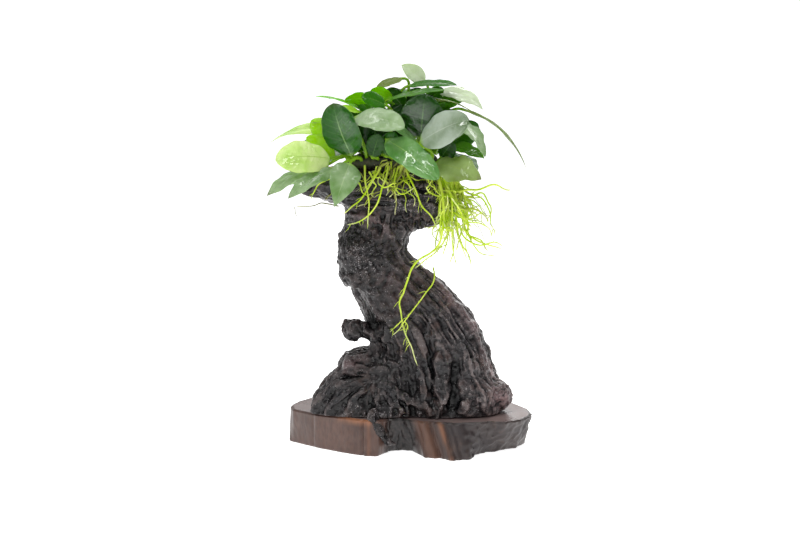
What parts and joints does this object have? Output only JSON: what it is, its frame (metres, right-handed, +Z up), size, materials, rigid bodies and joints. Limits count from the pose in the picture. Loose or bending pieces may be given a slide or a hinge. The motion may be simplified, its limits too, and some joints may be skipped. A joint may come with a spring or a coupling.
{
  "type": "anubias on driftwood",
  "caption": "Broad-leaved aquarium plant rooted on top of an upright piece of dark driftwood, which stands on a sawn wooden slab; it rests on the slab's flat underside.",
  "frame": {"origin": "on the slab's flat underside, below the middle of the slab, where it rests on a surface", "axes": "+Z up, +X to the right and -Y to the front, where the plant is seen with the driftwood's knee to the left"},
  "size_m": [0.181, 0.109, 0.2678],
  "materials": {
    "slab_wood": "wet sawn hardwood, reddish brown with darker streaks",
    "driftwood": "wet, rough, nearly black waterlogged driftwood",
    "rhizome": null,
    "leaf": null,
    "root": null
  },
  "bodies": {
    "root": {"slab": "slab_wood", "wood_trunk": "driftwood", "wood_arm_left": "driftwood", "wood_arm_right": "driftwood", "wood_stub": "driftwood", "wood_knee": "driftwood", "rhizome_front": "rhizome", "rhizome_back": "rhizome", "leaf_01": "leaf", "leaf_02": "leaf", "leaf_03": "leaf", "leaf_04": "leaf", "leaf_05": "leaf", "leaf_06": "leaf", "leaf_07": "leaf", "leaf_08": "leaf", "leaf_09": "leaf", "leaf_10": "leaf", "leaf_11": "leaf", "leaf_12": "leaf", "leaf_13": "leaf", "leaf_14": "leaf", "leaf_15": "leaf", "leaf_16": "leaf", "leaf_17": "leaf", "leaf_18": "leaf", "leaf_19": "leaf", "leaf_20": "leaf", "leaf_21": "leaf", "leaf_22": "leaf", "leaf_23": "leaf", "leaf_24": "leaf", "leaf_25": "leaf", "leaf_26": "leaf", "leaf_27": "leaf", "leaf_28": "leaf", "leaf_29": "leaf", "leaf_30": "leaf", "leaf_31": "leaf", "leaf_32": "leaf", "leaf_33": "leaf", "leaf_34": "leaf", "leaf_35": "leaf", "leaf_36": "leaf", "leaf_37": "leaf", "leaf_38": "leaf", "leaf_39": "leaf", "leaf_40": "leaf", "leaf_41": "leaf", "leaf_42": "leaf", "root_01": "root", "root_02": "root", "root_03": "root", "root_04": "root", "root_05": "root", "root_06": "root", "root_07": "root", "root_08": "root", "root_09": "root", "root_10": "root"}
  },
  "joints": []
}
